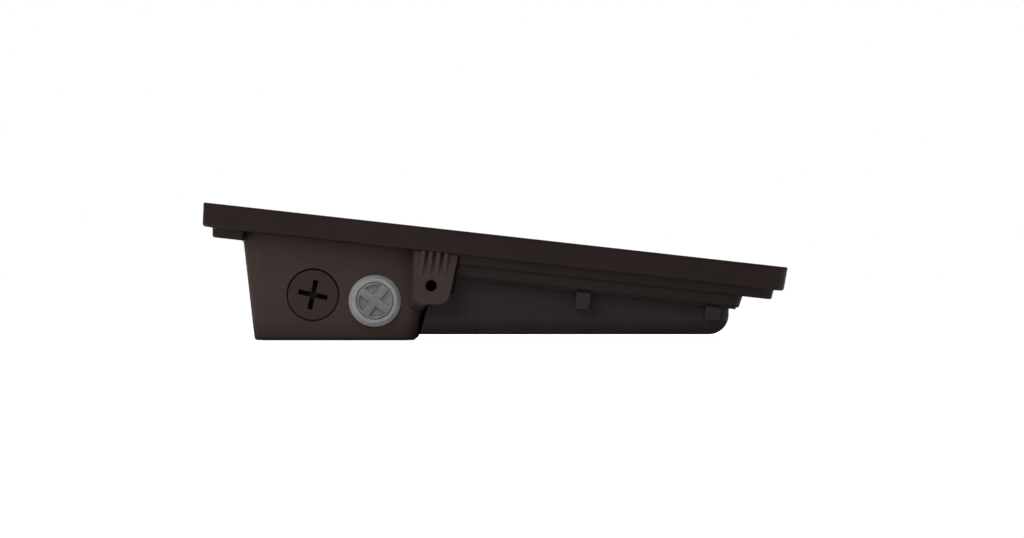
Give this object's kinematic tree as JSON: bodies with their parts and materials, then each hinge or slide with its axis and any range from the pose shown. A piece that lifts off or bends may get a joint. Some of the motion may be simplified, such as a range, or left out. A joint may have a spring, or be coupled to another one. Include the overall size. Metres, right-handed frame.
{
  "type": "flood light",
  "caption": "Slim wedge-shaped outdoor flood light with a cast front frame, side wiring box with screw-out conduit plugs and photocell cap, and a rounded driver cover.",
  "frame": {"origin": "centre of the wire hole of the wiring box, on the wall plane", "axes": "+X from the thick end with the wiring box to the thin end, +Y away from the side with the photocell cap, +Z out of the wall"},
  "size_m": [0.2636, 0.235, 0.0622],
  "materials": {
    "bronze_coat": "satin dark bronze powder coat on a casting",
    "cover_coat": "satin dark bronze powder coat",
    "plug_coat": "satin dark bronze",
    "frosted_plastic": "frosted translucent moulding",
    "seal_rubber": "matte black",
    "zinc_plate": "zinc plated sheet",
    "screw_steel": "plated steel",
    "ground_green": "green coated steel",
    "lens_clear": "clear, smooth",
    "board_white": "white solder mask",
    "chip_phosphor": "yellow phosphor",
    "white_plastic": "moulded",
    "reflector_white": "white moulding",
    "driver_case": "sheet case",
    "sensor_plastic": "moulded",
    "lead_black": "wire insulation",
    "lead_white": "wire insulation",
    "lead_green": "wire insulation",
    "lead_red": "wire insulation"
  },
  "bodies": {
    "housing": {"front_frame": "bronze_coat", "wiring_box": "bronze_coat", "lens_retainer": "bronze_coat", "driver_cover": "cover_coat", "wiring_box_gasket": "seal_rubber", "driver_cover_gasket": "seal_rubber", "back_plate_seal": "seal_rubber", "lens_gasket": "seal_rubber", "wire_grommet": "seal_rubber", "led_lead_grommet": "seal_rubber", "back_plate": "zinc_plate", "wiring_box_screws": "screw_steel", "back_plate_screws": "screw_steel", "driver_cover_screws": "screw_steel", "lens_retainer_screws": "screw_steel", "led_board_screws": "screw_steel", "led_driver_screws": "screw_steel", "terminal_block_screws": "screw_steel", "photocell_screws": "screw_steel", "ground_screw": "ground_green", "lens": "lens_clear", "led_board": "board_white", "led_chips": "chip_phosphor", "led_connector": "white_plastic", "reflector": "reflector_white", "terminal_block": "white_plastic", "led_driver": "driver_case", "photocell_sensor": "sensor_plastic", "line_lead": "lead_black", "neutral_lead": "lead_white", "ground_lead": "lead_green", "led_lead_positive": "lead_red", "led_lead_negative": "lead_black", "photocell_lead_line": "lead_black", "photocell_lead_load": "lead_red"},
    "near_plug_ring": {"near_plug_seal": "seal_rubber"},
    "near_plug": {"near_conduit_plug": "plug_coat"},
    "far_plug_ring": {"far_plug_seal": "seal_rubber"},
    "far_plug": {"far_conduit_plug": "plug_coat"},
    "photocell_cap_ring": {"photocell_cap_seal": "seal_rubber"},
    "photocell_cap": {"photocell_cap": "frosted_plastic"}
  },
  "joints": [
    {"name": "near_plug_out", "type": "slide", "parent": "housing", "child": "near_plug_ring", "axis": [0, -1, 0], "range_m": [0, 0.00907]},
    {"name": "near_plug_turn", "type": "hinge", "parent": "near_plug_ring", "child": "near_plug", "pos_m": [-0.0099, -0.1, 0.0206], "axis": [0, -1, 0], "range_deg": [0, 1800]},
    {"name": "far_plug_out", "type": "slide", "parent": "housing", "child": "far_plug_ring", "axis": [0, 1, 0], "range_m": [0, 0.00907]},
    {"name": "far_plug_turn", "type": "hinge", "parent": "far_plug_ring", "child": "far_plug", "pos_m": [-0.0099, 0.1, 0.0206], "axis": [0, 1, 0], "range_deg": [0, 1800]},
    {"name": "photocell_cap_out", "type": "slide", "parent": "housing", "child": "photocell_cap_ring", "axis": [0, -1, 0], "range_m": [0, 0.00907]},
    {"name": "photocell_cap_turn", "type": "hinge", "parent": "photocell_cap_ring", "child": "photocell_cap", "pos_m": [0.018, -0.1, 0.0179], "axis": [0, -1, 0], "range_deg": [0, 1800]}
  ],
  "couplings": [
    {"joint": "near_plug_out", "follows": "near_plug_turn", "m_per_rad": 0.00028871},
    {"joint": "far_plug_out", "follows": "far_plug_turn", "m_per_rad": 0.00028871},
    {"joint": "photocell_cap_out", "follows": "photocell_cap_turn", "m_per_rad": 0.00028871}
  ]
}
